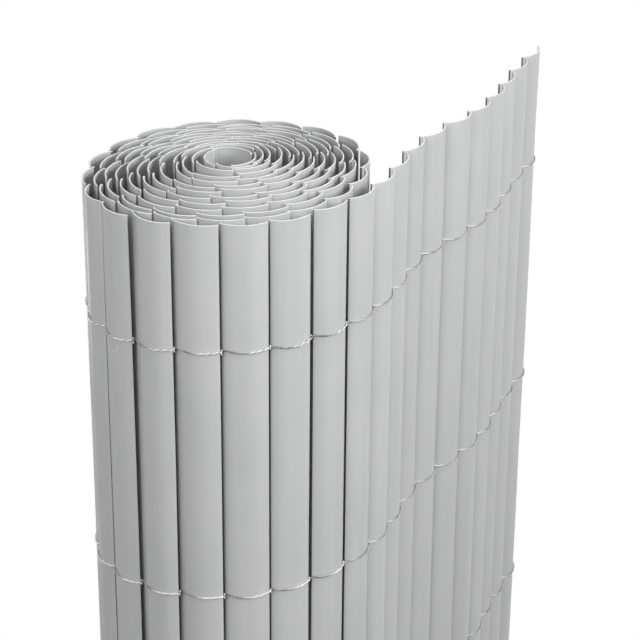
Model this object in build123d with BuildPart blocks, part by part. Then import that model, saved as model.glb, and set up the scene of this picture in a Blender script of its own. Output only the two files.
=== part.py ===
from build123d import *
import math
import os

import numpy as np

os.makedirs("parts", exist_ok=True)

# Rolled privacy screen: a mat of thin bowed PVC slats, tied together by rows of
# clear nylon thread, wound into a standing roll with its loose end swung out.
# Millimetres, Z up, the mat's foot on Z = 0, origin under the middle of the whole.

# The mat
screen_height = 1000.0
slat_count = 142

# One slat, an extruded strip with a bowed face and a tucked lip along one edge
slat_wall = 0.8
face_length = 21.4
bow_radius = 20.4
lip_length = 1.5
lip_angle = 22.0
lip_tuck = 0.8

# How the slats lie on each other
slot_gap = 0.7
layer_gap = 0.4
lip_gap = 0.3
next_lip_gap = 0.65
core_radius = 9.5
core_rise = 8.0

# The roll's spiral, which is a little oval: how far each turn stands over the one below,
# how much longer and shorter its axes are, and the angle of the long one from the first joint
turn_pitch = 4.03
roll_oval = 0.115
oval_side = 20.0

# The loose end: heading of the last slat on the roll, and how far each loose one turns
last_heading = 26.0
loose_turns = [11.0, 13.0, 10.0, 7.0, -5.0, -11.0, -4.0, 9.0, 8.0, 3.0, -4.0, 0.0]

# The tie threads: as many rows, from the top down, as fit above the lowest clear part
thread_size = 0.9
thread_spacing = 125.0
top_thread_drop = 60.0
foot_thread_clear = 40.0
thread_gap = 0.15

# How the roll is wound: steps of the search for each slat's place
core_slats = 12
core_swing = 0.7
outward_swing = 0.4
inward_swing = 0.2
swing_step = 0.01
ease_step = 2
slats_below = 34
lip_depth = 2.0
first_joint_rise = 0.9
lip_steps = 2
face_steps = 8
outline_steps = 64


# A plan point is a complex number, x + y j. In a slat's own plan the chord of the
# face runs along x, the face bows towards -y and the lip curls towards +y.
def face_ends(bow):
    """Angles of the face's two edges, seen from the middle of its bow."""
    half = face_length / bow / 2
    return -math.pi / 2 - half, -math.pi / 2 + half


def bow_middle(bow):
    half = face_length / bow / 2
    return bow * complex(math.sin(half), math.cos(half))


def face_point(bow, angle, lift=0.0):
    return bow_middle(bow) + (bow + lift) * np.exp(1j * angle)


def lip_along(bow):
    """Which way the straight lip runs from the face's first edge, tucked in from the bow."""
    start, _ = face_ends(bow)
    return np.exp(1j * (start - math.pi / 2 - math.radians(lip_angle)))


def joint_point(bow):
    """Where the free edge of the slat before stands over this slat's face."""
    start, _ = face_ends(bow)
    return face_point(bow, start + lip_tuck / bow, slat_wall + slot_gap)


def slat_line(bow, lift=0.0, steps=face_steps):
    """Points along the slat's section, from the lip's tip to the free edge."""
    start, end = face_ends(bow)
    fold = face_point(bow, start)
    along = lip_along(bow)
    lip = fold + along * (np.linspace(lip_length, 0, lip_steps, endpoint=False) + 1j * lift)
    return np.concatenate([lip, face_point(bow, np.linspace(start, end, steps + 1), lift)])


class Slat:
    """One slat in the wound mat: its bow, the joint that it starts from and its heading."""

    def __init__(self, joint, heading, bow):
        self.joint = joint
        self.heading = heading
        self.bow = bow

    def put(self, points):
        return self.joint + (points - joint_point(self.bow)) * np.exp(1j * self.heading)

    def line(self, lift=0.0, steps=face_steps):
        return self.put(slat_line(self.bow, lift, steps))

    def free_edge(self):
        return self.put(face_point(self.bow, face_ends(self.bow)[1]))


def bow_at(joint):
    """Slats near the core are bent tighter than they were extruded."""
    return min(bow_radius, abs(joint) - (slat_wall + slot_gap) / 2)


def level_heading(joint):
    """Heading that ends a slat as far from the core as it starts."""
    bow = bow_at(joint)
    span = face_point(bow, face_ends(bow)[1]) - joint_point(bow)
    swing = math.asin(min(abs(span) / 2 / abs(joint), 1.0))
    return np.angle(joint) + math.pi / 2 + swing - np.angle(span)


def close_points(line, parts=4):
    """The same line with each step between points divided."""
    steps = np.linspace(0, 1, parts, endpoint=False)
    return np.append((line[:-1, None] + np.diff(line)[:, None] * steps).ravel(), line[-1])


def room(slat, below):
    """Smallest room round a slat and round the lip of the slat that follows it."""
    edge = slat.free_edge()
    follower = Slat(edge, level_heading(edge), bow_at(edge))
    own = slat.line()
    lip = follower.line()[:lip_steps + 1]
    on_lip = [lip_gap] * lip_steps
    on_face = [layer_gap] * (face_steps + 1)
    gaps = np.array(on_lip + on_face + [next_lip_gap] * len(lip))
    lip_dips = [lip_depth] * lip_steps
    dips = np.array(lip_dips + [0.0] * (face_steps + 1) + lip_dips + [0.0])
    spots = np.concatenate([own, lip])
    free = abs(spots) + dips - core_radius - slat_wall / 2
    if len(below):
        nearest = abs(spots[:, None] - below[None, :]).min(axis=1)
        free = np.minimum(free, nearest - slat_wall - gaps)
    return free.min()


def wound_reach(number, angle):
    """How far out the winding carries the joint of one slat."""
    even = math.sqrt(core_radius ** 2 + number * face_length * turn_pitch / math.pi)
    return even * (1 + roll_oval * np.cos(2 * (angle - math.radians(oval_side))))


def swing_in(joint, number, below, ease):
    """The slat swings in about its joint down to the spiral, or until it lies on the turn below."""
    outward = core_swing if number < core_slats else outward_swing
    headings = level_heading(joint) + np.arange(-outward, inward_swing, swing_step)
    slats = [Slat(joint, heading, bow_at(joint)) for heading in headings]
    clear = np.array([room(slat, below) for slat in slats]) >= 0
    if not clear.any():
        return None
    first = int(clear.argmax())
    blocked = np.flatnonzero(~clear[first:])
    last = first + int(blocked[0]) if len(blocked) else len(slats)
    edges = np.array([slat.free_edge() for slat in slats[first:last]])
    outside = np.flatnonzero(abs(edges) >= wound_reach(number + 1, np.angle(edges)))
    chosen = first + (int(outside[-1]) if len(outside) else 0) - round(ease * ease_step)
    return slats[chosen] if chosen >= first else None


def wind_roll(count):
    """Lays slat after slat from the core outwards, and eases one where the next has no room."""
    first_reach = core_radius + slat_wall * 1.5 + slot_gap + first_joint_rise
    slats = []
    lines = []
    ease = [0] * count
    while len(slats) < count:
        number = len(slats)
        joint = slats[-1].free_edge() if slats else complex(0, -first_reach)
        near = lines[max(0, number - slats_below):max(number - 1, 0)]
        slat = swing_in(joint, number, np.concatenate([[]] + near), ease[number])
        if slat:
            slats.append(slat)
            lines.append(close_points(slat.line()))
        else:
            ease[number] = 0
            ease[number - 1] += 1
            slats.pop()
            lines.pop()
    return slats


def wind_mat():
    """The roll, then the loose end, which swings out from the last slat on the roll."""
    slats = wind_roll(slat_count - len(loose_turns))
    for turn in loose_turns:
        heading = slats[-1].heading + math.radians(turn)
        slats.append(Slat(slats[-1].free_edge(), heading, bow_radius))
    return slats


def turn_mat(slats, angle):
    """The whole mat turned about the roll's middle."""
    return [Slat(s.joint * np.exp(1j * angle), s.heading + angle, s.bow) for s in slats]


mat = wind_mat()
rolled_count = slat_count - len(loose_turns)
mat = turn_mat(mat, math.radians(last_heading) - mat[rolled_count - 1].heading)
rolled = mat[:rolled_count]
loose = mat[rolled_count:]

# The turns of the roll, from the core out; the innermost is the one cut short
sweep = np.unwrap([np.angle(slat.joint) for slat in mat[:rolled_count + 1]])
turns_left = (sweep[-1] - sweep[:-1]) / (2 * math.pi)
turn_count = math.ceil(turns_left[0])
turns = [[] for _ in range(turn_count)]
for slat, left in zip(rolled, turns_left):
    turns[turn_count - math.ceil(left)].append(slat)

# The roll telescopes: its outer turn stands on the floor and its core stands highest
standing_reach = min(abs(slat.joint) for slat in turns[-1])


def slat_rise(slat):
    return core_rise * max(0.0, 1 - abs(slat.joint) / standing_reach)


# The tie threads run over the face of every slat that shows from outside
thread_lift = slat_wall / 2 + thread_size / 2 + thread_gap
thread_reach = screen_height - top_thread_drop - foot_thread_clear
thread_rows = int(thread_reach // thread_spacing) + 1


def thread_points(slat):
    """Where the thread turns over one slat: above the middle of its face and above its free edge."""
    start, end = face_ends(slat.bow)
    half = (end - start) / 2
    reach = (slat.bow + thread_lift) / math.cos(half / 2)
    return slat.put(face_point(slat.bow, np.array([start + half, end]), reach - slat.bow))


def is_exposed(number):
    """True where no other part of the mat lies over the thread on this slat."""
    others = [s.line() for n, s in enumerate(mat) if abs(n - number) > 1]
    path = close_points(thread_points(mat[number]))
    distance = abs(path[:, None] - close_points(np.concatenate(others))[None, :]).min()
    return distance > thread_lift


first_tied = slat_count - 1
while first_tied > 0 and is_exposed(first_tied - 1):
    first_tied -= 1
thread_path = np.concatenate([thread_points(slat) for slat in mat[first_tied:]])


def ribbon(path, width):
    """Plan outline of a strip of one width along a path, with mitred corners."""
    steps = np.diff(path)
    sides = 1j * steps / abs(steps)
    before = np.concatenate([sides[:1], sides])
    after = np.concatenate([sides, sides[-1:]])
    mitre = (before + after) / (1 + (before * after.conj()).real)
    return np.concatenate([path + mitre * width / 2, (path - mitre * width / 2)[::-1]])


# The origin lies under the middle of everything in plan
thread_outline = ribbon(thread_path, thread_size)
outer_faces = [slat.line(slat_wall / 2, outline_steps) for slat in mat]
plan_points = np.concatenate(outer_faces + [thread_outline])
middle = complex(
    (plan_points.real.min() + plan_points.real.max()) / 2,
    (plan_points.imag.min() + plan_points.imag.max()) / 2,
)


def slat_plane(slat, rise):
    foot = slat.joint - middle
    along = np.exp(1j * slat.heading)
    return Plane(
        origin=(foot.real, foot.imag, rise),
        x_dir=(along.real, along.imag, 0),
        z_dir=(0, 0, 1),
    )


def slat_section(bow):
    """One slat's section about its joint: the bowed face and its straight lip, each of one wall."""
    start, end = (math.degrees(angle) for angle in face_ends(bow))
    face = bow_middle(bow) - joint_point(bow)
    lip = slat_line(bow)[0] - joint_point(bow)
    half_wall = slat_wall / 2
    across = 1j * lip_along(bow) * half_wall
    tip_out = (lip + across).real, (lip + across).imag
    tip_in = (lip - across).real, (lip - across).imag
    with BuildSketch() as section:
        with BuildLine():
            face_out = CenterArc((face.real, face.imag), bow + half_wall, start, end - start)
            face_in = CenterArc((face.real, face.imag), bow - half_wall, start, end - start)
            Line(face_out @ 1, face_in @ 1)
            Polyline(face_out @ 0, tip_out, tip_in, face_in @ 0)
        make_face()
    return section.sketch


# The roll, one node for each turn, and the loose end
groups = {f"turn_{number:02d}": turn for number, turn in enumerate(turns, start=1)}
groups["loose_end"] = loose
for name, slats in groups.items():
    with BuildPart() as group:
        for slat in slats:
            rise = slat_rise(slat) if slat in rolled else 0.0
            with BuildSketch(slat_plane(slat, rise)):
                add(slat_section(slat.bow))
            extrude(amount=screen_height, clean=False)
    group.part.label = name
    export_step(group.part, f"parts/{name}.step")

# The tie threads, one node for each row, from the top down
for row in range(thread_rows):
    height = screen_height - top_thread_drop - row * thread_spacing
    corners = [(point.real, point.imag) for point in thread_outline - middle]
    with BuildPart() as thread:
        with BuildSketch(Plane.XY.offset(height - thread_size / 2)):
            with BuildLine():
                Polyline(*corners, close=True)
            make_face()
        extrude(amount=thread_size)
    thread.part.label = f"tie_thread_{row + 1}"
    export_step(thread.part, f"parts/tie_thread_{row + 1}.step")

print("turns", turn_count, "slats", [len(turn) for turn in turns], "loose", len(loose))
print("mat length", round(sum(abs(np.diff([slat.joint for slat in mat])))), "mm")
print("roll across", round(2 * max(abs(slat.line(slat_wall / 2)).max() for slat in rolled), 1))
print("thread over slats", first_tied, "to", slat_count - 1)
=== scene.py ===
# %% [markdown]
# # A rolled slat screen
# The object is a mat of thin bowed plastic slats, tied by rows of clear thread and wound into
# a standing roll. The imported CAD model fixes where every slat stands. This script reads those
# places from it, gives each slat its fine rounded form, twists the threads and sets the light.

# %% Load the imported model
import cmath
import math
import random

import bmesh
import bpy
import numpy as np
from mathutils import Matrix, Vector


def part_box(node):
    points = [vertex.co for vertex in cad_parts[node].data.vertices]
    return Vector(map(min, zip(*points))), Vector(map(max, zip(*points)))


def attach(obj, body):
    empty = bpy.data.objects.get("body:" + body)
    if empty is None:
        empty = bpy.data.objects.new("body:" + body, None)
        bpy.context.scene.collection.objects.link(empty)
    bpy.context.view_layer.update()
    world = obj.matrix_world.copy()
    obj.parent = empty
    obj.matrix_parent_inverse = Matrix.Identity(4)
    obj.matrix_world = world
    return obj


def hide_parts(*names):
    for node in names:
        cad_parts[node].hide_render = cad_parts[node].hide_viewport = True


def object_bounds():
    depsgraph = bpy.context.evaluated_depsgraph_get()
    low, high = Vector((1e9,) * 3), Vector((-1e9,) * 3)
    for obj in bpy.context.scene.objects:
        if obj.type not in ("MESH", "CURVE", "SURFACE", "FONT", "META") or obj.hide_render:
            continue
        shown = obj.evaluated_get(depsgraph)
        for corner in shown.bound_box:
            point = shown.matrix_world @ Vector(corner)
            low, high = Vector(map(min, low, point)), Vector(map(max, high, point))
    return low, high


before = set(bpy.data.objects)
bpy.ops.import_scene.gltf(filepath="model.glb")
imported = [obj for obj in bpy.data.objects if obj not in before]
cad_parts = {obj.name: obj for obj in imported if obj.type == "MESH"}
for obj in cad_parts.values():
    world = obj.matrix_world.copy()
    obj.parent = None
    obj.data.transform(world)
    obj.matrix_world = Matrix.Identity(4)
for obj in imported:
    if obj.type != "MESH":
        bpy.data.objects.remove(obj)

cad_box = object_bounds()
turn_nodes = sorted(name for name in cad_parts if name.startswith("turn_"))
thread_nodes = sorted(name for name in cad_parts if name.startswith("tie_thread_"))
outer_turn = turn_nodes[-1]
print("turns", len(turn_nodes), "thread rows", len(thread_nodes), "box", cad_box)

# %% [markdown]
# ## The camera
# The photograph looks down on the roll from the front, with a long lens. The camera stands at a
# fixed place from the middle of the outer turn, so it follows the model if the roll moves.

# %% Camera
CAMERA_FROM_ROLL = (0.04236, -0.94807)
CAMERA_HEIGHT = 1.3914
CAMERA_PITCH = math.radians(26.16)
CAMERA_ROLL = math.radians(0.45)
LENS = 129.27
SENSOR = 36.0


def middle_of(node):
    """The middle of a node's box in plan."""
    low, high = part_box(node)
    return (low.x + high.x) / 2, (low.y + high.y) / 2


roll_x, roll_y = middle_of(outer_turn)
camera = bpy.data.objects.new("camera", bpy.data.cameras.new("camera"))
camera.data.lens = LENS
camera.data.sensor_width = SENSOR
camera.data.clip_end = 50.0
tilt = Matrix.Rotation(math.pi / 2 - CAMERA_PITCH, 4, "X")
turn = Matrix.Rotation(CAMERA_ROLL, 4, "Z")
place = (roll_x + CAMERA_FROM_ROLL[0], roll_y + CAMERA_FROM_ROLL[1], CAMERA_HEIGHT)
camera.matrix_world = Matrix.Translation(place) @ tilt @ turn
bpy.context.scene.collection.objects.link(camera)
bpy.context.scene.camera = camera
bpy.context.scene.view_settings.view_transform = "Standard"
print("camera at", [round(value, 3) for value in place])

# %% [markdown]
# ## Where each slat stands
# In the frame a slat is a closed solid whose lower end is a thin bent outline. Walking round
# that outline gives its two long sides. Their average is the line down the middle of the wall,
# and three points of it give the circle that the face bows along. Nothing is measured by eye.

# %% The separate solids of a mesh
WELD = 1e-6


def islands(mesh):
    """The separate solids of a mesh, each as a list of its welded vertices."""
    welded = bmesh.new()
    welded.from_mesh(mesh)
    bmesh.ops.remove_doubles(welded, verts=welded.verts, dist=WELD)
    welded.verts.ensure_lookup_table()
    seen = set()
    found = []
    for first in welded.verts:
        if first in seen:
            continue
        group, waiting = [], [first]
        seen.add(first)
        while waiting:
            vertex = waiting.pop()
            group.append(vertex)
            for edge in vertex.link_edges:
                other = edge.other_vert(vertex)
                if other not in seen:
                    seen.add(other)
                    waiting.append(other)
        found.append(group)
    return welded, found


welded_turn, turn_solids = islands(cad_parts[outer_turn].data)
print("solids in", outer_turn, len(turn_solids))


# %% The outline of a solid's foot
LEVEL_FACE = 0.5


def foot_outline(group):
    """The outline of a solid's lower end, as plan points x + y j in walking order."""
    foot = min(vertex.co.z for vertex in group)
    ring = [vertex for vertex in group if vertex.co.z < foot + WELD]
    members = set(ring)

    def is_border(edge):
        return any(abs(face.normal.z) < LEVEL_FACE for face in edge.link_faces)

    walk = [ring[0]]
    while True:
        steps = [e.other_vert(walk[-1]) for e in walk[-1].link_edges if is_border(e)]
        steps = [v for v in steps if v in members and v not in walk]
        if not steps:
            break
        walk.append(steps[0])
    return np.array([complex(v.co.x, v.co.y) for v in walk])


outline = foot_outline(turn_solids[0])
welded_turn.free()
print("outline points", len(outline))


# %% The circle of a bowed face
def circle_middle(a, b, c):
    """The middle of the circle through three plan points."""
    u, v = b - a, c - a
    cross = (u.conjugate() * v).imag
    return a + 1j * (v * abs(u) ** 2 - u * abs(v) ** 2) / (-2 * cross)


print("middle of a unit circle, as a test", circle_middle(1 + 0j, 1j, -1 + 0j))


# %% One slat, from its outline
class Slat:
    """One slat: its wall, the circle of its bowed face, and its first and last edge in plan."""

    def __init__(self, outline, low, high):
        self.low, self.high = low, high
        closed = np.append(outline, outline[0])
        ends = sorted(np.argsort(abs(np.diff(closed)))[:2])
        self.wall = abs(closed[ends[0] + 1] - closed[ends[0]])
        one_side = outline[ends[0] + 1:ends[1] + 1]
        other_side = np.roll(outline, -ends[1] - 1)[:len(one_side)][::-1]
        middle = (one_side + other_side) / 2
        bends = abs(np.angle(np.diff(middle)[1:] / np.diff(middle)[:-1]))
        if bends[-1] > bends[0]:
            middle = middle[::-1]
        self.fold, self.edge = middle[1], middle[-1]
        self.centre = circle_middle(middle[1], middle[len(middle) // 2], middle[-1])
        self.bow = abs(self.fold - self.centre)
        self.start = cmath.phase(self.fold - self.centre)
        self.sweep = cmath.phase((self.edge - self.centre) / (self.fold - self.centre))


sample = Slat(outline, 0.0, 1.0)
print("wall", round(sample.wall * 1000, 2), "mm, bow", round(sample.bow * 1000, 2), "mm")


# %% The slats in winding order
def in_order(slats):
    """The slats in the order they are wound: each starts at the free edge of the one before."""
    rest = list(slats)
    ordered = [max(rest, key=lambda slat: min(abs(slat.fold - other.edge) for other in slats))]
    rest.remove(ordered[0])
    while rest:
        ordered.append(min(rest, key=lambda slat: abs(slat.fold - ordered[-1].edge)))
        rest.remove(ordered[-1])
    return ordered


def read_slats(node):
    """All the slats of one node, in order."""
    welded, found = islands(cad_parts[node].data)
    slats = []
    for group in found:
        heights = [vertex.co.z for vertex in group]
        slats.append(Slat(foot_outline(group), min(heights), max(heights)))
    welded.free()
    return in_order(slats)


slats_of = {node: read_slats(node) for node in turn_nodes + ["loose_end"]}
mat = [slat for node in turn_nodes + ["loose_end"] for slat in slats_of[node]]
steps = [abs(after.fold - before.edge) for before, after in zip(mat, mat[1:])]
print("slats", len(mat), "bow", round(mat[-1].bow * 1000, 2), "mm, joints up to",
      round(max(steps) * 1000, 2), "mm apart")

# %% [markdown]
# ## How much a slat bows
# A real slat leaves its die already bowed, so it is stiff and sheds the rain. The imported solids
# bow a little less than the photograph's slats, so the ones that show are bowed out more here. A
# subdivision surface could round them, but a circle through the same two edges keeps every joint
# where it is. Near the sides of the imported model's box the extra bow is smaller, so that the fine
# model stays inside.

# %% The bow of the slats that show
FINE_WALL = 0.00062
HOOK_START, HOOK_START_INSIDE = 0.0008, 0.0003
BOW_MORE, BOW_LITTLE_MORE = 0.0013, 0.0005
BOX_ROOM = 0.0040
exposed = slats_of[outer_turn] + slats_of["loose_end"]


def bow_more(slat, more):
    """The face bows out farther between the same fold and free edge."""
    chord = slat.edge - slat.fold
    half = abs(chord) / 2
    rise = slat.bow * (1 - math.cos(slat.sweep / 2)) + more
    slat.bow = (half ** 2 + rise ** 2) / (2 * rise)
    slat.sweep = 2 * math.asin(half / slat.bow)
    slat.centre = slat.fold + chord / 2 + 1j * chord / abs(chord) * (slat.bow - rise)
    slat.start = cmath.phase(slat.fold - slat.centre)


def crest(slat):
    """The middle of the face, in plan."""
    return slat.centre + slat.bow * cmath.exp(1j * (slat.start + slat.sweep / 2))


def room_outside(slat):
    """How far a slat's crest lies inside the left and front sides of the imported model's box."""
    return min(crest(slat).real - cad_box[0].x, crest(slat).imag - cad_box[0].y)


for slat in mat:
    slat.wall = FINE_WALL
    slat.hook, slat.trim = (HOOK_START if slat in exposed else HOOK_START_INSIDE), 0.0
for slat in exposed:
    bow_more(slat, BOW_MORE if room_outside(slat) > BOX_ROOM else BOW_LITTLE_MORE)
print("bow of the last slat", round(mat[-1].bow * 1000, 2), "mm")

# %% [markdown]
# ## One slat, fine and rounded
# The fine slat follows the middle of the wall: the bowed face starts with a tight hook that
# turns inwards, so an open slot is left beside the free edge of the slat before. The ends are
# rounded. A bevel modifier would round the ends too, but it can't make the hook, so the outline
# is worked out point by point as complex numbers, where a turn is one multiplication.

# %% The line down the middle of the wall
LIP_POINTS = 7
FACE_POINTS = 17
HOOK_RADIUS = 0.00036
HOOK_TURN = math.radians(110)


def centre_line(slat):
    """Points down the middle of the wall, tip to free edge, and the outward direction at each."""
    first = slat.start + slat.hook / slat.bow
    last = slat.start + slat.sweep - (slat.trim + slat.wall / 2) / slat.bow
    hook_middle = slat.centre + (slat.bow - HOOK_RADIUS) * cmath.exp(1j * first)
    hook = first - np.linspace(HOOK_TURN, 0, LIP_POINTS)[:-1]
    face = np.linspace(first, last, FACE_POINTS)
    points = np.concatenate([hook_middle + HOOK_RADIUS * np.exp(1j * hook),
                             slat.centre + slat.bow * np.exp(1j * face)])
    return points, np.exp(1j * np.concatenate([hook, face]))


print("points down the wall", len(centre_line(mat[0])[0]))

# %% The rounded outline
QUARTER = (-math.pi / 4, 0.0, math.pi / 4)


def section_ring(slat, inset):
    """The rounded outline: out along the outer side, round the free edge and back inside."""
    points, outward = centre_line(slat)
    half = slat.wall / 2 - inset
    free_cap = points[-1] + half * outward[-1] * np.exp(1j * (np.array(QUARTER) + math.pi / 2))
    lip_cap = points[0] + half * outward[0] * np.exp(1j * (np.array(QUARTER) - math.pi / 2))
    outer = points + half * outward
    inner = (points - half * outward)[::-1]
    return np.concatenate([outer, free_cap, inner, lip_cap])


def ring_slot():
    """How deep in a slot each point of the ring lies: 1 on the hook, 0 from the face on."""
    hook = np.linspace(1, 0, LIP_POINTS)
    deep = np.concatenate([hook, np.zeros(FACE_POINTS - 1)])
    return np.concatenate([deep, [0, 0, 0], deep[::-1], [1, 1, 1]])


print("points round one section", len(section_ring(mat[0], 0.0)), len(ring_slot()))

# %% [markdown]
# ## How a slat twists
# A tied strip of thin plastic is never quite straight. A slat that shows from outside twists a
# little along its height, and stands off at the rim, where no thread holds it. Each twist turns
# about the fold, so the joint to the slat before stays as it is. The sizes are drawn from a
# seeded generator, so each run gives the same mat.

# %% The twist of one slat
RIM_STAND_OFF = (-0.00015, 0.00045)
WAVE_SIZE, WAVE_RATE = (0.00003, 0.00010), (2.0, 7.0)
WAVE_PHASE = 6.28
RIM_CURVE = 1.5
FIRST_THREAD = sum(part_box(thread_nodes[0])[side].z for side in (0, 1)) / 2
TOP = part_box(outer_turn)[1].z
rng = random.Random(11)


def twist_of(slat):
    """Seeded twist of an exposed slat, in metres at its free edge: rim stand-off and slow waves."""
    slat.lean, slat.rim_off = 0.0, rng.uniform(*RIM_STAND_OFF)
    slat.waves = [(rng.uniform(*WAVE_SIZE), rng.uniform(*WAVE_RATE), rng.uniform(0, WAVE_PHASE))
                  for _ in range(3)]


def edge_lift(slat, height):
    """How far the free edge stands off its place at one height."""
    if not hasattr(slat, "waves"):
        return 0.0
    lift = sum(size * math.sin(math.tau * rate * height + phase)
               for size, rate, phase in slat.waves)
    above = max(0.0, (height - FIRST_THREAD) / (TOP - FIRST_THREAD))
    return lift + slat.lean + slat.rim_off * above ** RIM_CURVE


def turned(slat, points, height):
    """Plan points of a slat, turned about its fold by its twist at one height."""
    reach = abs(slat.edge - slat.fold)
    angle = -edge_lift(slat, height) / reach
    return slat.fold + (points - slat.fold) * cmath.exp(1j * angle)


for slat in exposed:
    twist_of(slat)
print("twisted slats", len(exposed), "first thread at", round(FIRST_THREAD, 3), "m")

# %% [markdown]
# ## The slots at the front
# The slots between the slats in front are what the eye follows down the roll. They are not even:
# the mat pulls open at some and shuts at others. Each one is moved and widened along the mat by
# cutting back the free edge on its left and shifting the start of the slat on its right.

# %% Move and widen the slots
# Left to right, in mm: how far each slot is moved and widened, how far the free edge beside it
# leans out, and how much more it does at the rim
FRONT_SLOTS = [(0.6, 0.3, -0.6, 0.0), (-2.9, -1.6, 0.0, 0.5), (-3.1, -1.2, 0.0, 0.1),
               (-1.4, 0.5, 0.0, 0.1), (0.2, 1.3, 0.0, -0.5), (1.4, 2.9, 0.0, 0.2),
               (1.8, 3.0, 0.0, 0.1)]

front = slats_of[outer_turn][-6:] + slats_of["loose_end"][:2]
for slat, after, (move, widen, lean, rim_off) in zip(front, front[1:], FRONT_SLOTS):
    slat.trim += (widen - move) / 1000
    after.hook += move / 1000
    slat.lean, slat.rim_off = lean / 1000, rim_off / 1000
print("slots set at the front", len(FRONT_SLOTS))

# %% [markdown]
# ## The slats as meshes
# A mesh is built from rings of points, one above the other, joined by four-sided faces. The slats
# of the outer turn and of the loose end show their whole height, so they get many rings. The
# slats inside the roll show only their rims, and stay straight between two of them. The saw-cut
# rim is broken by a tiny chamfer, and no two slats are cut to quite the same height.

# %% The heights of the rings
LEVELS_SHOWN = 26
RIM_BREAK = 0.00012
RIM_SCATTER = 0.0006


def slat_levels(slat):
    """Heights and insets of the rings, from the foot to the rim."""
    top = slat.high - rng.uniform(0.0, RIM_SCATTER)
    count = LEVELS_SHOWN if hasattr(slat, "waves") else 2
    body = np.linspace(slat.low + RIM_BREAK, top - RIM_BREAK, count)
    heights = [slat.low, *body, top]
    insets = [RIM_BREAK] + [0.0] * count + [RIM_BREAK]
    return list(zip(heights, insets))


print("rings of a slat that shows", LEVELS_SHOWN + 2)


# %% One mesh for the slats of a node
SHARP_EDGE = math.radians(40)


def build_slats(name, slats):
    """One mesh of all the slats of a node, with a tone for each and the depth in a slot."""
    verts, faces, tones, depths = [], [], [], []
    side = LIP_POINTS - 1 + FACE_POINTS
    size = 2 * (side + len(QUARTER))
    for slat in slats:
        tone = rng.random()
        levels = slat_levels(slat)
        base = len(verts)
        for height, inset in levels:
            ring = turned(slat, section_ring(slat, inset), height)
            verts += [(point.real, point.imag, height) for point in ring]
            depths += list(ring_slot() * (slat in exposed))
        tones += [tone] * (len(levels) * size)
        for level in range(len(levels) - 1):
            low = base + level * size
            for here in range(size):
                after = (here + 1) % size
                faces.append((low + here, low + after, low + size + after, low + size + here))
        # Four-sided faces close the foot and the rim, and a five-sided one each rounded end
        for low, flip in ((base, True), (base + (len(levels) - 1) * size, False)):
            inner = [low + size - 4 - step for step in range(side)]
            caps = [(low + step, low + step + 1, inner[step + 1], inner[step])
                    for step in range(side - 1)]
            caps.append(tuple(low + side - 1 + step for step in range(5)))
            caps.append((inner[0], low + size - 3, low + size - 2, low + size - 1, low))
            faces += [face[::-1] for face in caps] if flip else caps
    mesh = bpy.data.meshes.new(name)
    mesh.from_pydata(verts, [], faces)
    for key, values in (("tone", tones), ("slot_depth", depths)):
        mesh.attributes.new(key, "FLOAT", "POINT").data.foreach_set("value", values)
    mesh.set_sharp_from_angle(angle=SHARP_EDGE)
    piece = bpy.data.objects.new(name, mesh)
    bpy.context.scene.collection.objects.link(piece)
    return piece


print("sharp edges from", round(math.degrees(SHARP_EDGE)), "degrees")

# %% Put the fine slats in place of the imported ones
slat_pieces = []
for node, slats in slats_of.items():
    piece = build_slats("slats_" + node, slats)
    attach(piece, "root")
    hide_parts(node)
    slat_pieces.append(piece)
print("slat faces", sum(len(piece.data.polygons) for piece in slat_pieces))

# %% [markdown]
# ## The tie threads
# Two clear strands are twisted into one thread, which holds the slats side by side. It lies on
# the face of each slat, and dips at each slot over the free edge down to the next face. A curve
# with a bevel could carry one strand, but two strands that wind about each other are built as
# rings here, so that each gets its own shade along the way.

# %% Which slats a thread crosses
NEAR_THREAD = 0.0022


def tied_slats():
    """The slats whose faces the CAD thread passes close by."""
    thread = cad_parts[thread_nodes[0]].data
    plan = np.array([complex(v.co.x, v.co.y) for v in thread.vertices])
    near = []
    for slat in mat:
        out = cmath.exp(1j * (slat.start + slat.sweep / 2))
        middle = slat.centre + (slat.bow + slat.wall / 2) * out
        if abs(plan - middle).min() < NEAR_THREAD:
            near.append(slat)
    return near


tied = tied_slats()
print("tied slats", len(tied))

# %% The path over the faces
THREAD_RADIUS = 0.00048
THREAD_SAG = (0.0004, 0.0011)
PATH_SHARES = (0.0, 0.1, 0.25, 0.4, 0.6, 0.8, 0.92, 1.0)
AFTER_HOOK, BEFORE_EDGE = 0.0004, 0.0002
DIP_BEYOND, DIP_DEPTH = 0.0005, 0.00035


def over_face(slat, height, way, lift):
    """A plan point over a slat's face: way in metres from the fold, lift from the wall's middle."""
    point = slat.centre + (slat.bow + lift) * cmath.exp(1j * (slat.start + way / slat.bow))
    return turned(slat, point, height)


def thread_corners(slats, height):
    """The points that the thread is drawn through, slat after slat: plan, sag and way over it."""
    lie = mat[0].wall / 2 + THREAD_RADIUS
    corners, dips = [], []
    for slat in slats:
        long = slat.bow * slat.sweep - slat.trim
        first, last = slat.hook + AFTER_HOOK, long - BEFORE_EDGE
        sag = rng.uniform(*THREAD_SAG)
        for share in PATH_SHARES:
            spot = over_face(slat, height, first + (last - first) * share, lie)
            corners.append((spot.real, spot.imag, -sag * math.sin(math.pi * share), share))
        dip = over_face(slat, height, long + DIP_BEYOND, lie - DIP_DEPTH)
        corners.append((dip.real, dip.imag, 0.0, 0.0))
        dips.append(dip)
    return np.array(corners[:-1]), dips[:-1]


print("points over one slat", len(PATH_SHARES) + 1)


# %% A smooth path in even steps
BETWEEN_CORNERS = 10


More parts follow.
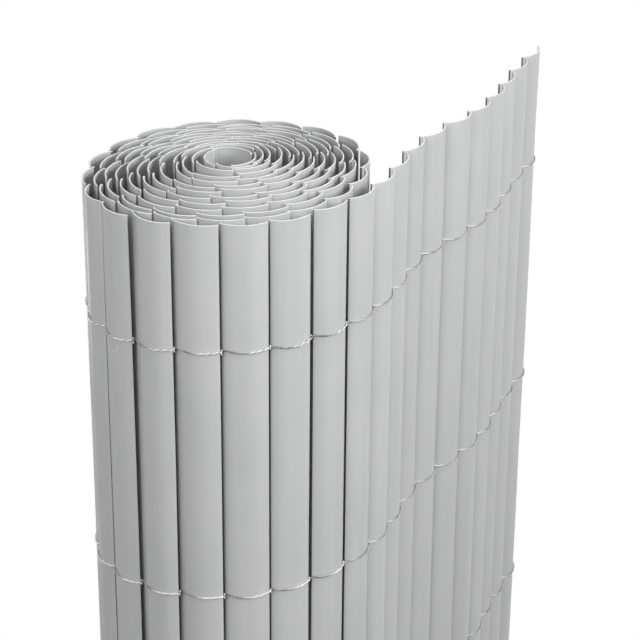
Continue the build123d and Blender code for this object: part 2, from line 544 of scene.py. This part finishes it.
def smooth_path(points, step):
    """A smooth curve through the corners, in even steps."""
    fine = []
    before, after = np.vstack([points[:1], points[:-2]]), np.vstack([points[2:], points[-1:]])
    t = np.linspace(0, 1, BETWEEN_CORNERS, endpoint=False)[:, None]
    for a, b, c, d in zip(before, points[:-1], points[1:], after):
        slope_b, slope_c = (c - a) / 2, (d - b) / 2
        fine.append((2 * t ** 3 - 3 * t ** 2 + 1) * b + (t ** 3 - 2 * t ** 2 + t) * slope_b
                    + (3 * t ** 2 - 2 * t ** 3) * c + (t ** 3 - t ** 2) * slope_c)
    fine = np.vstack(fine + [points[-1:]])
    run = np.concatenate([[0], np.cumsum(np.hypot(*np.diff(fine[:, :2], axis=0).T))])
    even = np.arange(0, run[-1], step)
    plan, sag, share = (np.interp(even, run, values) for values in
                        (fine[:, 0] + 1j * fine[:, 1], fine[:, 2], fine[:, 3]))
    return plan, sag, share


square = np.array([(0, 0, 0, 0), (1, 0, 0, 0), (1, 1, 0, 0), (0, 1, 0, 1)], float)
print("steps round three sides of a unit square", len(smooth_path(square, 0.1)[0]))

# %% One strand
STRAND_RADIUS = 0.00027
STRAND_OFFSET = 0.00024
STRAND_PITCH = 0.0036
STRAND_SIDES = 5
THREAD_STEP = 0.0006


def strand(path, height, phase, verts, faces):
    """One strand wound about the path, whose height is given at each step."""
    tangent = np.gradient(path)
    outward = -1j * tangent / abs(tangent)
    turn_angle = math.tau * np.arange(len(path)) * THREAD_STEP / STRAND_PITCH + phase
    middle = path + STRAND_OFFSET * np.cos(turn_angle) * outward
    level = height + STRAND_OFFSET * np.sin(turn_angle)
    base = len(verts)
    for spot, out, z in zip(middle, outward, level):
        for side in range(STRAND_SIDES):
            angle = math.tau * side / STRAND_SIDES
            point = spot + STRAND_RADIUS * math.cos(angle) * out
            verts.append((point.real, point.imag, z + STRAND_RADIUS * math.sin(angle)))
    for ring in range(len(path) - 1):
        low = base + ring * STRAND_SIDES
        for side in range(STRAND_SIDES):
            after = (side + 1) % STRAND_SIDES
            faces.append((low + side, low + after, low + STRAND_SIDES + after,
                          low + STRAND_SIDES + side))
    faces.append(tuple(base + side for side in reversed(range(STRAND_SIDES))))
    faces.append(tuple(len(verts) - STRAND_SIDES + side for side in range(STRAND_SIDES)))


print("strand across", round(STRAND_RADIUS * 2000, 2), "mm, pitch", STRAND_PITCH * 1000, "mm")

# %% [markdown]
# ## The knots
# In each dip the thread is knotted, so the slats can't slide along it. Two small rounded beads
# stand for a knot, one above and one below the thread's line. Real loops could be swept along a
# curve, but at this size they can't be told from beads and would cost many more faces.

# %% A knot
KNOT_RADIUS = 0.00052
KNOT_GROWTH = (0.8, 1.05)
KNOT_SPREAD = (0.0004, 0.0011)
KNOT_SLIM = 0.8


def knot(spot, height, verts, faces, rings=5, sides=8):
    """A small rounded knot."""
    base = len(verts)
    grow = rng.uniform(*KNOT_GROWTH) * KNOT_RADIUS
    verts.append((spot.real, spot.imag, height - grow))
    for ring in range(1, rings):
        polar = math.pi * ring / rings
        for side in range(sides):
            angle = math.tau * side / sides
            point = spot + grow * KNOT_SLIM * math.sin(polar) * cmath.exp(1j * angle)
            verts.append((point.real, point.imag, height - grow * math.cos(polar)))
    verts.append((spot.real, spot.imag, height + grow))
    last = len(verts) - 1
    for side in range(sides):
        after = (side + 1) % sides
        faces.append((base, base + 1 + after, base + 1 + side))
        for ring in range(rings - 2):
            low = base + 1 + ring * sides
            faces.append((low + side, low + after, low + sides + after, low + sides + side))
        low = base + 1 + (rings - 2) * sides
        faces.append((last, low + side, low + after))


print("knot height", round(KNOT_RADIUS * 2000, 2), "mm")

# %% [markdown]
# ## The shade along a thread
# Clear nylon looks bright where it catches the light and dark where it shows the shade behind
# it. On the roll it is dark over the start of each slat and bright over the rest, and on the
# loose end it is the other way round. Refraction in so thin a strand would be noisy to render,
# so the shade is kept as a number at each point, which the material reads.

# %% How dark a strand is along its way
DARKEST_ROLL = 0.9
BRIGHT_FROM, ROLL_FADE = 0.62, 0.25
DARK_FROM, LOOSE_FADE = 0.10, 0.3
LOOSE_SHADE = (0.25, 0.78)
LOOSE_BLEND = 0.01
FIRST_ROW_LEAST, OTHER_ROW_LEAST = (0.65, 0.0), (0.25, 0.0)


def dark_share(share, path, least):
    """How dark a strand looks over each slat, on the roll and where the mat is loose."""
    on_roll = least + (DARKEST_ROLL - least) * np.clip((BRIGHT_FROM - share) / ROLL_FADE, 0, 1)
    on_loose = np.clip((share - DARK_FROM) / LOOSE_FADE, *LOOSE_SHADE)
    loose_from = slats_of["loose_end"][1].fold.real
    loose_part = np.clip((path.real - loose_from) / LOOSE_BLEND, 0, 1)
    return on_roll * (1 - loose_part) + on_loose * loose_part


print("darkest on the roll", DARKEST_ROLL, "and on the loose end", LOOSE_SHADE[1])

# %% Build the threads
thread_pieces = []
for node in thread_nodes:
    low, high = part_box(node)
    height = (low.z + high.z) / 2
    verts, faces = [], []
    corners, dips = thread_corners(tied, height)
    path, sag, share = smooth_path(corners, THREAD_STEP)
    phase = rng.uniform(0, math.tau)
    strand(path, height + sag, phase, verts, faces)
    strand(path, height + sag, phase + math.pi, verts, faces)
    least_shades = FIRST_ROW_LEAST if node == thread_nodes[0] else OTHER_ROW_LEAST
    shade = [value for least in least_shades
             for value in np.repeat(dark_share(share, path, least), STRAND_SIDES)]
    for spot in dips:
        for side in (-1, 1):
            knot(spot, height + side * rng.uniform(*KNOT_SPREAD), verts, faces)
    # The knots carry no shade, so they take the bright colour: a painted glint in each dip
    shade += [0.0] * (len(verts) - len(shade))
    mesh = bpy.data.meshes.new("twisted_" + node)
    mesh.from_pydata(verts, [], faces)
    mesh.attributes.new("shade", "FLOAT", "POINT").data.foreach_set("value", shade)
    mesh.shade_smooth()
    piece = bpy.data.objects.new("twisted_" + node, mesh)
    bpy.context.scene.collection.objects.link(piece)
    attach(piece, "root")
    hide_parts(node)
    thread_pieces.append(piece)
print("thread faces", sum(len(piece.data.polygons) for piece in thread_pieces))

# %% [markdown]
# ## Shader groups
# Four effects are kept as node groups: the drawn streaks of the extruded plastic, the dust and
# small marks that a mat gathers, a rub where something was pressed on it, and the mask of its
# sawn ends. A group hides its nodes behind a few named sockets, so a material stays readable.

# %% Helpers for the node groups
def new_group(name, inputs, outputs):
    """An empty shader group with float or vector sockets."""
    group = bpy.data.node_groups.new(name, "ShaderNodeTree")
    for label, kind, value in inputs:
        socket = group.interface.new_socket(label, in_out="INPUT", socket_type=kind)
        if value is not None:
            socket.default_value = value
    for label, kind in outputs:
        group.interface.new_socket(label, in_out="OUTPUT", socket_type=kind)
    return group, group.nodes.new("NodeGroupInput"), group.nodes.new("NodeGroupOutput")


def add_node(tree, kind, links=(), **settings):
    """A node with its settings, its constants and what is linked into it."""
    node = tree.nodes.new(kind)
    for key, value in settings.items():
        setattr(node, key, value)
    for socket, source in dict(links).items():
        if isinstance(source, bpy.types.NodeSocket):
            tree.links.new(source, node.inputs[socket])
        else:
            node.inputs[socket].default_value = source
    return node


def math_node(tree, operation, first, second=None, clamp=False):
    """A math node's output."""
    links = {0: first} if second is None else {0: first, 1: second}
    return add_node(tree, "ShaderNodeMath", links, operation=operation, use_clamp=clamp).outputs[0]


def remap(tree, value, low, high, to_low=0.0, to_high=1.0):
    """A value brought from one range to another, smoothly and clamped."""
    links = {"Value": value, "From Min": low, "From Max": high, "To Min": to_low, "To Max": to_high}
    node = add_node(tree, "ShaderNodeMapRange", links, interpolation_type="SMOOTHSTEP")
    return node.outputs["Result"]


FLOAT, VECTOR = "NodeSocketFloat", "NodeSocketVector"
print("socket kinds", FLOAT, VECTOR)


# %% Streaks along the extrusion
def streak_group():
    """Plastic drawn through a die: the relief of fine lines and a slow change of tone."""
    group, start, end = new_group(
        "extrusion_streaks",
        [("Place", VECTOR, None), ("Lines", FLOAT, 900.0), ("Length", FLOAT, 0.02)],
        [("Relief", FLOAT), ("Tone", FLOAT)])
    squash = add_node(group, "ShaderNodeCombineXYZ", {0: 1.0, 1: 1.0, 2: start.outputs["Length"]})
    place = add_node(group, "ShaderNodeVectorMath",
                     {0: start.outputs["Place"], 1: squash.outputs[0]}, operation="MULTIPLY")
    fine = add_node(group, "ShaderNodeTexNoise",
                    {"Vector": place.outputs[0], "Scale": start.outputs["Lines"], "Detail": 2.0})
    broad = add_node(group, "ShaderNodeTexNoise",
                     {"Vector": place.outputs[0], "Scale": 160.0, "Detail": 3.0})
    relief = math_node(group, "ADD", math_node(group, "MULTIPLY", fine.outputs[0], 0.4),
                       math_node(group, "MULTIPLY", broad.outputs[0], 0.6))
    group.links.new(relief, end.inputs["Relief"])
    group.links.new(remap(group, broad.outputs[0], 0.35, 0.65), end.inputs["Tone"])
    return group


streaks = streak_group()
print("nodes in", streaks.name, len(streaks.nodes))


# %% Dust, smudges and small marks
def mark_group():
    """Dust is a soft cloud, specks are a few tiny chips, and scuffs are short pale rubs."""
    group, start, end = new_group(
        "dust_and_marks",
        [("Place", VECTOR, None), ("Speck size", FLOAT, 0.06)],
        [("Dust", FLOAT), ("Specks", FLOAT), ("Scuffs", FLOAT)])
    place = start.outputs["Place"]
    cloud = add_node(group, "ShaderNodeTexNoise", {"Vector": place, "Scale": 22.0, "Detail": 5.0})
    cells = add_node(group, "ShaderNodeTexVoronoi", {"Vector": place, "Scale": 130.0})
    chosen = remap(group, add_node(group, "ShaderNodeSeparateColor",
                                   {0: cells.outputs["Color"]}).outputs[0], 0.955, 0.96)
    round_spot = remap(group, cells.outputs["Distance"], start.outputs["Speck size"], 0.02)
    rub = add_node(group, "ShaderNodeVectorMath", {0: place, 1: (260.0, 260.0, 60.0)},
                   operation="MULTIPLY")
    rub_noise = add_node(group, "ShaderNodeTexNoise",
                         {"Vector": rub.outputs[0], "Scale": 1.0, "Detail": 4.0, "Distortion": 0.6})
    patch = add_node(group, "ShaderNodeTexNoise", {"Vector": place, "Scale": 9.0, "Detail": 1.0})
    scuffs = math_node(group, "MULTIPLY", remap(group, rub_noise.outputs[0], 0.62, 0.7),
                       remap(group, patch.outputs[0], 0.56, 0.66))
    group.links.new(remap(group, cloud.outputs[0], 0.38, 0.68), end.inputs["Dust"])
    group.links.new(math_node(group, "MULTIPLY", chosen, round_spot), end.inputs["Specks"])
    group.links.new(scuffs, end.inputs["Scuffs"])
    return group


marks = mark_group()
print("nodes in", marks.name, len(marks.nodes))


# %% One rub on the outside
def rub_group():
    """The lower half of a pale ring, where something was pressed on the plastic, or a spot."""
    group, start, end = new_group(
        "rub_mark",
        [("Place", VECTOR, None), ("Middle", VECTOR, None), ("Radius", FLOAT, 0.004),
         ("Width", FLOAT, 0.0006), ("Only below", FLOAT, 1.0)],
        [("Mask", FLOAT)])
    away = add_node(group, "ShaderNodeVectorMath",
                    {0: start.outputs["Place"], 1: start.outputs["Middle"]}, operation="SUBTRACT")
    tall = add_node(group, "ShaderNodeVectorMath", {0: away.outputs[0], 1: (1.0, 1.0, 1.3)},
                    operation="MULTIPLY")
    reach = add_node(group, "ShaderNodeVectorMath", {0: tall.outputs[0]}, operation="LENGTH")
    off = math_node(group, "ABSOLUTE",
                    math_node(group, "SUBTRACT", reach.outputs["Value"], start.outputs["Radius"]))
    ring = remap(group, off, start.outputs["Width"], 0.0)
    height = add_node(group, "ShaderNodeSeparateXYZ", {0: away.outputs[0]}).outputs[2]
    above = remap(group, height, -0.0008, 0.0012)
    kept = math_node(group, "SUBTRACT", 1.0,
                     math_node(group, "MULTIPLY", above, start.outputs["Only below"]))
    group.links.new(math_node(group, "MULTIPLY", ring, kept), end.inputs["Mask"])
    return group


rub = rub_group()
print("nodes in", rub.name, len(rub.nodes))


# %% The sawn ends
def sawn_group():
    """A mask of faces that look up or down, and the crumbly grain of the cut."""
    group, start, end = new_group(
        "sawn_ends", [("Place", VECTOR, None), ("Up", FLOAT, 0.0)],
        [("Cut", FLOAT), ("Grain", FLOAT)])
    steep = math_node(group, "ABSOLUTE", start.outputs["Up"])
    grain = add_node(group, "ShaderNodeTexNoise",
                     {"Vector": start.outputs["Place"], "Scale": 1400.0, "Detail": 4.0})
    group.links.new(remap(group, steep, 0.35, 0.75), end.inputs["Cut"])
    group.links.new(grain.outputs[0], end.inputs["Grain"])
    return group


sawn = sawn_group()
print("nodes in", sawn.name, len(sawn.nodes))

# %% [markdown]
# ## The plastic
# The slats are light grey rigid plastic with a satin skin. The sawn rims are whiter and rough,
# and painted shade darkens the deep side of each hook. The layers are mixed one over the other by
# masks, from the plain plastic up, so that each can be turned off to see what it does.

# %% Colours and helpers for the materials
PVC_COLOUR = (0.575, 0.578, 0.580, 1.0)
PVC_DULL = (0.52, 0.522, 0.524, 1.0)
DUST_COLOUR = (0.66, 0.66, 0.655, 1.0)
CUT_COLOUR = (0.92, 0.92, 0.92, 1.0)
CHIP_COLOUR = (0.85, 0.85, 0.85, 1.0)
THREAD_LIGHT = (0.93, 0.93, 0.92, 1.0)
THREAD_DARK = (0.11, 0.11, 0.108, 1.0)
# Painted shade: the near-black laid on the deep side of each hook, where the slot falls into shade
SLOT_PAINTED_SHADE = (0.11, 0.11, 0.108, 1.0)
RUB_PLACE = (-0.0942, -0.0978, 0.9353)
SPOT_PLACE = (-0.0303, -0.1139, 0.9428)


def place_group(tree, group, links):
    """A shader group placed in a material."""
    return add_node(tree, "ShaderNodeGroup", links, node_tree=group)


def new_material(name):
    """A material with its node tree, its surface output and its shader."""
    material = bpy.data.materials.new(name)
    material.use_nodes = True
    tree = material.node_tree
    shader = next(node for node in tree.nodes if node.type == "BSDF_PRINCIPLED")
    return material, tree, shader


def mixed(tree, factor, first, second):
    """One colour laid over another by a mask."""
    node = tree.nodes.new("ShaderNodeMix")
    node.data_type = "RGBA"
    tree.links.new(factor, node.inputs["Factor"])
    for label, colour in (("A", first), ("B", second)):
        socket = [item for item in node.inputs if item.name == label and item.type == "RGBA"][0]
        if isinstance(colour, bpy.types.NodeSocket):
            tree.links.new(colour, socket)
        else:
            socket.default_value = colour
    return [item for item in node.outputs if item.type == "RGBA"][0]


print("grey of the plastic", PVC_COLOUR[:3])

# %% Wear over the plastic
# Each kind of wear: how much it covers, and its colour
WEAR = {"Dust": (0.25, DUST_COLOUR), "Scuffs": (0.1, CHIP_COLOUR), "Specks": (0.8, CHIP_COLOUR)}
RUB_RADIUS, RUB_COVER = 0.0042, 0.55
SPOT_WIDTH, SPOT_COVER = 0.0012, 0.6
SLAT_SHARE, STREAK_SHARE = 0.5, 0.5


def worn_colour(tree, place, streak, mark):
    """The colour of the plastic with its tone, dust, scuffs, specks, rub and spot."""
    tone = add_node(tree, "ShaderNodeAttribute", attribute_name="tone").outputs["Fac"]
    shade = math_node(tree, "ADD",
                      math_node(tree, "MULTIPLY", streak.outputs["Tone"], STREAK_SHARE),
                      math_node(tree, "MULTIPLY", tone, SLAT_SHARE))
    colour = mixed(tree, shade, PVC_COLOUR, PVC_DULL)
    for label, (cover, over) in WEAR.items():
        mask = math_node(tree, "MULTIPLY", mark.outputs[label], cover)
        colour = mixed(tree, mask, colour, over)
    ring = place_group(tree, rub, {"Place": place, "Middle": RUB_PLACE, "Radius": RUB_RADIUS})
    spot = place_group(tree, rub, {"Place": place, "Middle": SPOT_PLACE, "Radius": 0.0,
                                   "Width": SPOT_WIDTH, "Only below": 0.0})
    pressed = math_node(tree, "MULTIPLY", ring.outputs["Mask"], RUB_COVER)
    spotted = math_node(tree, "MULTIPLY", spot.outputs["Mask"], SPOT_COVER)
    return mixed(tree, math_node(tree, "ADD", pressed, spotted, True), colour, CHIP_COLOUR)


print("wear over the whole mat", list(WEAR))

# %% Satin grey plastic
SLOT_SHADE = (0.08, 0.35)
SKIN_ROUGHNESS = (0.38, 0.50)
CUT_ROUGHER = 0.4


def pvc_material():
    """Rigid plastic with drawn streaks, wear, painted shade in the slots and pale sawn ends."""
    material, tree, shader = new_material("grey_pvc")
    place = add_node(tree, "ShaderNodeTexCoord").outputs["Object"]
    normal = add_node(tree, "ShaderNodeNewGeometry").outputs["True Normal"]
    up = add_node(tree, "ShaderNodeSeparateXYZ", {0: normal}).outputs[2]
    streak = place_group(tree, streaks, {"Place": place})
    mark = place_group(tree, marks, {"Place": place})
    cut = place_group(tree, sawn, {"Place": place, "Up": up})
    depth = add_node(tree, "ShaderNodeAttribute", attribute_name="slot_depth").outputs["Fac"]
    worn = worn_colour(tree, place, streak, mark)
    # The deep side of each hook is painted near-black by its slot depth, a painted shade in the
    # slot
    slot_shaded = mixed(tree, remap(tree, depth, *SLOT_SHADE), worn, SLOT_PAINTED_SHADE)
    crumbs = remap(tree, cut.outputs["Grain"], 0.35, 0.65, 0.75, 1.0)
    sawn_mask = math_node(tree, "MULTIPLY", cut.outputs["Cut"], crumbs)
    tree.links.new(mixed(tree, sawn_mask, slot_shaded, CUT_COLOUR), shader.inputs["Base Color"])
    skin = remap(tree, mark.outputs["Dust"], 0.0, 1.0, *SKIN_ROUGHNESS)
    cut_rough = math_node(tree, "MULTIPLY", cut.outputs["Cut"], CUT_ROUGHER)
    rough = math_node(tree, "ADD", skin, cut_rough, True)
    tree.links.new(rough, shader.inputs["Roughness"])
    shader.inputs["IOR"].default_value = 1.52
    shader.inputs["Subsurface Weight"].default_value = 0.0
    lines = add_node(tree, "ShaderNodeBump",
                     {"Height": streak.outputs["Relief"], "Strength": 0.25, "Distance": 0.00012})
    grain = math_node(tree, "MULTIPLY", cut.outputs["Grain"], cut.outputs["Cut"])
    bump = add_node(tree, "ShaderNodeBump", {"Height": grain, "Strength": 0.5, "Distance": 0.0002,
                                             "Normal": lines.outputs[0]})
    tree.links.new(bump.outputs[0], shader.inputs["Normal"])
    return material


pvc = pvc_material()
for piece in slat_pieces:
    piece.data.materials.append(pvc)
print("plastic nodes", len(pvc.node_tree.nodes))

# %% [markdown]
# ## The clear thread
# The thread is nylon, which is glossy and lets a little light through. Its colour runs between a
# bright and a dark one by the shade that each point carries. Clear glass with real refraction
# would be truer up close, but it needs far more samples. A grainy bump breaks the gloss.

# %% Clear nylon
THREAD_GLOSS = (0.12, 0.28)


def thread_material():
    """Glossy thread, bright to dark by the shade at each point."""
    material, tree, shader = new_material("clear_nylon")
    place = add_node(tree, "ShaderNodeTexCoord").outputs["Object"]
    cloud = add_node(tree, "ShaderNodeTexNoise", {"Vector": place, "Scale": 240.0, "Detail": 2.0})
    shade = add_node(tree, "ShaderNodeAttribute", attribute_name="shade").outputs["Fac"]
    uneven = math_node(tree, "MULTIPLY", shade, remap(tree, cloud.outputs[0], 0.35, 0.65, 0.7, 1.0))
    tint = mixed(tree, uneven, THREAD_LIGHT, THREAD_DARK)
    tree.links.new(tint, shader.inputs["Base Color"])
    rough = remap(tree, cloud.outputs[0], 0.3, 0.7, *THREAD_GLOSS)
    tree.links.new(rough, shader.inputs["Roughness"])
    shader.inputs["Transmission Weight"].default_value = 0.15
    shader.inputs["IOR"].default_value = 1.53
    grain = add_node(tree, "ShaderNodeTexNoise", {"Vector": place, "Scale": 2600.0, "Detail": 2.0})
    bump = add_node(tree, "ShaderNodeBump",
                    {"Height": grain.outputs[0], "Strength": 0.3, "Distance": 0.00006})
    tree.links.new(bump.outputs[0], shader.inputs["Normal"])
    return material


nylon = thread_material()
for piece in thread_pieces:
    piece.data.materials.append(nylon)
print("thread nodes", len(nylon.node_tree.nodes))

# %% [markdown]
# ## Floor
# The floor is plain and pale and keeps the roll's shadow round its foot. Farther off it turns
# pure white, as the photograph's background is. A white room would need no such blend, but its
# floor would throw light up into every gap, so to bounced light this floor is a dark one.

# %% Floor
FLOOR_COLOUR = (0.80, 0.80, 0.80, 1.0)
FLOOR_BOUNCE = (0.30, 0.30, 0.30, 1.0)
FLOOR_DULL = (0.76, 0.76, 0.76, 1.0)
FLOOR_SIZE = 14.0
SHADOW_REACH = (0.75, 1.05)


def seen_directly(tree):
    """1 for what the camera sees, also in gloss and through glass, and 0 for light on its way."""
    path = add_node(tree, "ShaderNodeLightPath").outputs
    mirrored = math_node(tree, "ADD", path["Is Glossy Ray"], path["Is Transmission Ray"])
    return math_node(tree, "ADD", path["Is Camera Ray"], mirrored, True)


def floor_material():
    """A pale matt floor that turns white beyond the object's shadow."""
    material, tree, shader = new_material("pale_floor")
    output = next(node for node in tree.nodes if node.type == "OUTPUT_MATERIAL")
    place = add_node(tree, "ShaderNodeTexCoord").outputs["Object"]
    cloud = add_node(tree, "ShaderNodeTexNoise", {"Vector": place, "Scale": 3.0, "Detail": 3.0})
    tone = mixed(tree, cloud.outputs[0], FLOOR_COLOUR, FLOOR_DULL)
    seen = seen_directly(tree)
    tree.links.new(mixed(tree, seen, FLOOR_BOUNCE, tone), shader.inputs["Base Color"])
    shader.inputs["Roughness"].default_value = 0.9
    away = add_node(tree, "ShaderNodeVectorMath", {0: place}, operation="LENGTH").outputs["Value"]
    far = remap(tree, away, *SHADOW_REACH)
    white = add_node(tree, "ShaderNodeEmission", {"Color": (1.0, 1.0, 1.0, 1.0), "Strength": 1.0})
    mix = add_node(tree, "ShaderNodeMixShader",
                   {0: math_node(tree, "MULTIPLY", far, seen), 1: shader.outputs[0],
                    2: white.outputs[0]})
    tree.links.new(mix.outputs[0], output.inputs["Surface"])
    return material


half = FLOOR_SIZE / 2
floor_mesh = bpy.data.meshes.new("floor")
floor_mesh.from_pydata([(-half, -half, 0), (half, -half, 0), (half, half, 0), (-half, half, 0)], [],
                       [(0, 1, 2, 3)])
floor_mesh.materials.append(floor_material())
floor = bpy.data.objects.new("floor", floor_mesh)
bpy.context.scene.collection.objects.link(floor)
print("floor", FLOOR_SIZE, "m")

# %% [markdown]
# ## Light
# Soft lamps stand in a wide arc in front, a little above the rim, so the faces are evenly lit
# and the gaps in the roll fall into shade. One more stands low behind, for the views from there.
# The surroundings look white to the camera and in gloss, but give only a little light, because a
# bright sky all round would wash the gaps out.

# %% Lamps
def soft_lamp(name, spot, aim, size, power):
    """A square soft lamp at a spot, facing what it lights."""
    lamp = bpy.data.lights.new(name, "AREA")
    lamp.size, lamp.energy = size, power
    holder = bpy.data.objects.new(name, lamp)
    holder.matrix_world = Matrix.Translation(spot) @ (Vector(aim) - Vector(spot)).to_track_quat(
        "-Z", "Y").to_matrix().to_4x4()
    bpy.context.scene.collection.objects.link(holder)


# Each lamp: where it stands from the middle of the roll, its size and its power
LAMPS = {
    "key": ((0.72, -0.45, 1.36), 0.45, 5.7),
    "front": ((-0.30, -0.88, 1.36), 0.50, 3.8),
    "left": ((-0.55, -0.62, 1.45), 0.50, 1.5),
    "right": ((0.80, 0.00, 1.40), 0.45, 2.0),
    "top": ((0.05, -0.35, 2.00), 0.60, 2.2),
    "back": ((-0.40, 0.95, 0.75), 0.60, 3.0),
}
aim = (roll_x, roll_y, 0.75)
for name, ((right, back, up), size, power) in LAMPS.items():
    soft_lamp(name, (roll_x + right, roll_y + back, up), aim, size, power)
print("lamps", list(LAMPS))

# %% Surroundings
SKY_LIGHT, SKY_SEEN = 0.15, 1.0
world = bpy.data.worlds.new("surroundings")
world.use_nodes = True
sky = next(node for node in world.node_tree.nodes if node.type == "BACKGROUND")
sky.inputs["Color"].default_value = (1.0, 1.0, 1.0, 1.0)
seen = seen_directly(world.node_tree)
strength = remap(world.node_tree, seen, 0.0, 1.0, SKY_LIGHT, SKY_SEEN)
world.node_tree.links.new(strength, sky.inputs["Strength"])
bpy.context.scene.world = world
print("surroundings give", SKY_LIGHT, "and look", SKY_SEEN)

# %% [markdown]
# ## Size
# The fine pieces are built to stay inside the imported model's box.

# %% Update the scene
bpy.context.view_layer.update()
